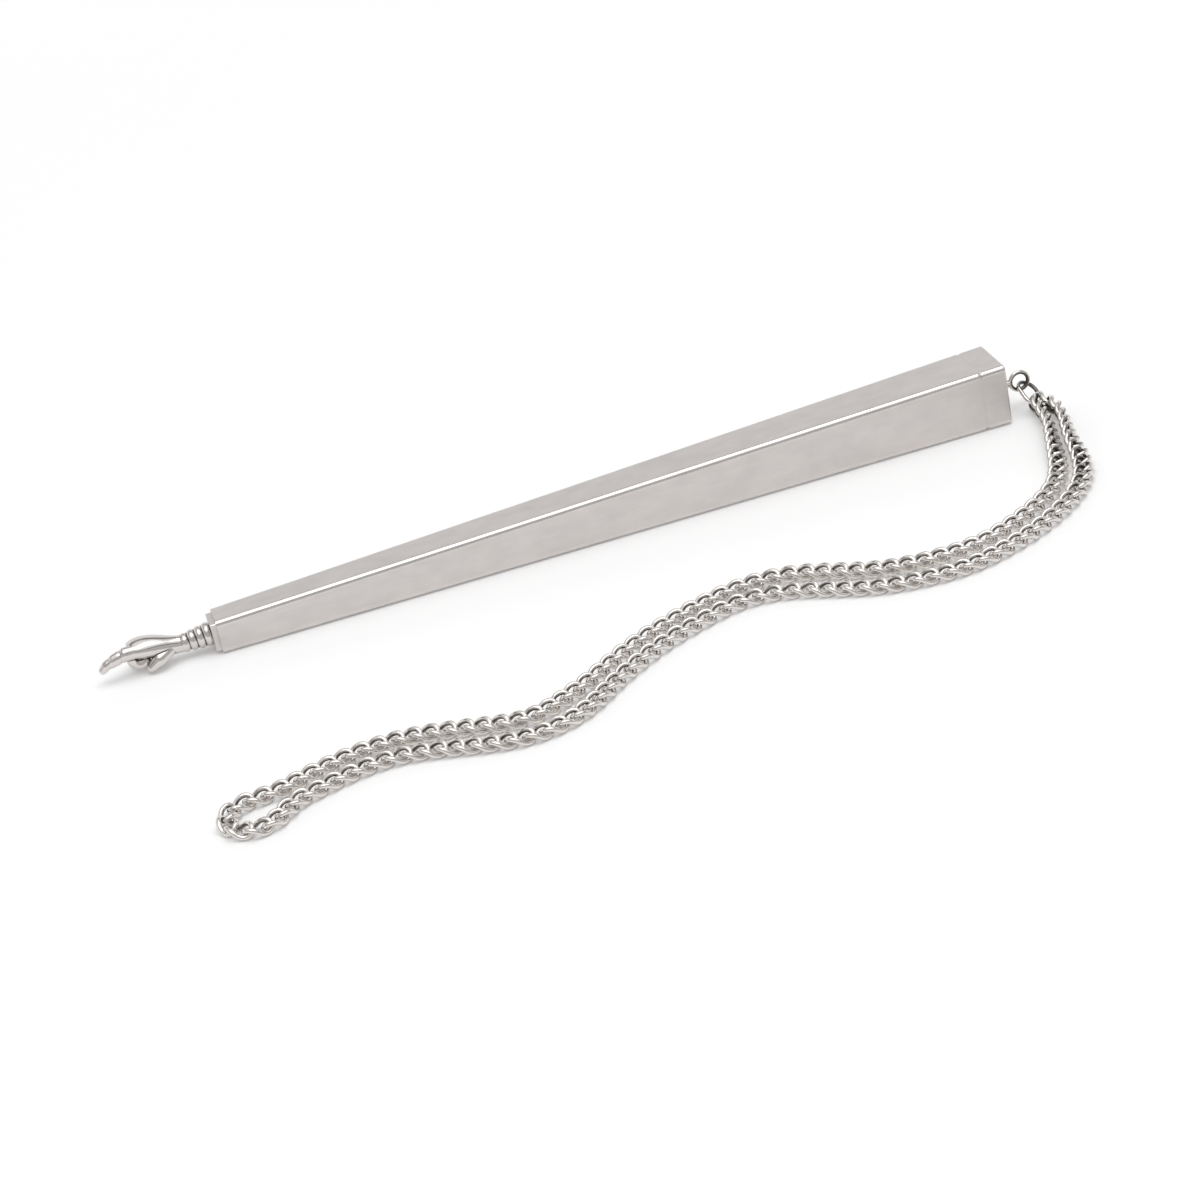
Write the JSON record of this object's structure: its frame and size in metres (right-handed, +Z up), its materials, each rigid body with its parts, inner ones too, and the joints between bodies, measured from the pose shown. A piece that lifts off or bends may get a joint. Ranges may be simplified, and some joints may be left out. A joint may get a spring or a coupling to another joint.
{
  "type": "yad torah pointer",
  "caption": "Tapered square metal pointer ending in a small right hand with extended index finger, with a curb chain loop on an eye at its wide end, for following a line of text by hand.",
  "frame": {"origin": "middle of the shaft's lower face, which rests on the table", "axes": "+X along the pointer from the hand towards the chain's eye, +Z up off the table, the chain lying on the -Y side"},
  "size_m": [0.2053, 0.0832, 0.0133],
  "materials": {
    "shaft": "satin, fine lengthwise brushed grain with polished edges",
    "cast_hand": "cast and polished, darker in the creases",
    "wire": "polished drawn wire",
    "chain": "polished plated wire"
  },
  "bodies": {
    "pointer": {"shaft_tube": "shaft", "tip_plug": "shaft", "hand": "cast_hand", "end_cap": "shaft", "eye": "wire"},
    "ring": {"jump_ring": "wire"},
    "chain_01": {"front_links_01": "chain", "back_links_01": "chain"},
    "chain_02": {"front_links_02": "chain", "back_links_02": "chain"},
    "chain_03": {"front_links_03": "chain", "back_links_03": "chain"},
    "chain_04": {"front_links_04": "chain", "back_links_04": "chain"},
    "chain_05": {"front_links_05": "chain", "back_links_05": "chain"},
    "chain_06": {"front_links_06": "chain", "back_links_06": "chain"},
    "chain_07": {"front_links_07": "chain", "back_links_07": "chain"},
    "chain_08": {"front_links_08": "chain", "back_links_08": "chain"},
    "chain_09": {"front_links_09": "chain", "back_links_09": "chain"},
    "chain_10": {"front_links_10": "chain", "back_links_10": "chain"},
    "chain_11": {"front_links_11": "chain", "back_links_11": "chain"},
    "chain_12": {"front_links_12": "chain", "back_links_12": "chain"},
    "chain_13": {"front_links_13": "chain", "back_links_13": "chain"},
    "chain_14": {"front_links_14": "chain", "back_links_14": "chain"},
    "chain_15": {"front_links_15": "chain", "back_links_15": "chain"},
    "chain_16": {"front_links_16": "chain", "back_links_16": "chain"}
  },
  "joints": [
    {"name": "ring_swing", "type": "hinge", "parent": "pointer", "child": "ring", "pos_m": [0.09122, -0.0008, 0.00432], "axis": [0, 0, 1], "range_deg": [-10, 40]},
    {"name": "chain_hinge_01", "type": "hinge", "parent": "ring", "child": "chain_01", "pos_m": [0.09078, -0.003, 0.00197], "axis": [0, 0, 1], "range_deg": [-4, 14]},
    {"name": "chain_hinge_02", "type": "hinge", "parent": "chain_01", "child": "chain_02", "pos_m": [0.09075, -0.01707, 0.00216], "axis": [0, 0, -1], "range_deg": [-6, 6]},
    {"name": "chain_hinge_03", "type": "hinge", "parent": "chain_02", "child": "chain_03", "pos_m": [0.08807, -0.02829, 0.00179], "axis": [0, 0, 1], "range_deg": [-6, 6]},
    {"name": "chain_hinge_04", "type": "hinge", "parent": "chain_03", "child": "chain_04", "pos_m": [0.08135, -0.04147, 0.00127], "axis": [0, 0, -1], "range_deg": [-6, 6]},
    {"name": "chain_hinge_05", "type": "hinge", "parent": "chain_04", "child": "chain_05", "pos_m": [0.07142, -0.04958, 0.00125], "axis": [0, 0, 1], "range_deg": [-6, 6]},
    {"name": "chain_hinge_06", "type": "hinge", "parent": "chain_05", "child": "chain_06", "pos_m": [0.05821, -0.05534, 0.00125], "axis": [0, 0, -1], "range_deg": [-6, 6]},
    {"name": "chain_hinge_07", "type": "hinge", "parent": "chain_06", "child": "chain_07", "pos_m": [0.04648, -0.05611, 0.00125], "axis": [0, 0, 1], "range_deg": [-6, 6]},
    {"name": "chain_hinge_08", "type": "hinge", "parent": "chain_07", "child": "chain_08", "pos_m": [0.03529, -0.05307, 0.00125], "axis": [0, 0, -1], "range_deg": [-6, 6]},
    {"name": "chain_hinge_09", "type": "hinge", "parent": "chain_08", "child": "chain_09", "pos_m": [0.02205, -0.04579, 0.00125], "axis": [0, 0, 1], "range_deg": [-6, 6]},
    {"name": "chain_hinge_10", "type": "hinge", "parent": "chain_09", "child": "chain_10", "pos_m": [0.00653, -0.0453, 0.00125], "axis": [0, 0, -1], "range_deg": [-6, 6]},
    {"name": "chain_hinge_11", "type": "hinge", "parent": "chain_10", "child": "chain_11", "pos_m": [-0.00703, -0.05076, 0.00125], "axis": [0, 0, 1], "range_deg": [-6, 6]},
    {"name": "chain_hinge_12", "type": "hinge", "parent": "chain_11", "child": "chain_12", "pos_m": [-0.01937, -0.05889, 0.00125], "axis": [0, 0, -1], "range_deg": [-6, 6]},
    {"name": "chain_hinge_13", "type": "hinge", "parent": "chain_12", "child": "chain_13", "pos_m": [-0.03086, -0.06668, 0.00125], "axis": [0, 0, 1], "range_deg": [-6, 6]},
    {"name": "chain_hinge_14", "type": "hinge", "parent": "chain_13", "child": "chain_14", "pos_m": [-0.04215, -0.06777, 0.00125], "axis": [0, 0, -1], "range_deg": [-6, 6]},
    {"name": "chain_hinge_15", "type": "hinge", "parent": "chain_14", "child": "chain_15", "pos_m": [-0.05304, -0.06394, 0.00125], "axis": [0, 0, 1], "range_deg": [-6, 6]},
    {"name": "chain_hinge_16", "type": "hinge", "parent": "chain_15", "child": "chain_16", "pos_m": [-0.06764, -0.06183, 0.00125], "axis": [0, 0, -1], "range_deg": [-6, 6]}
  ]
}
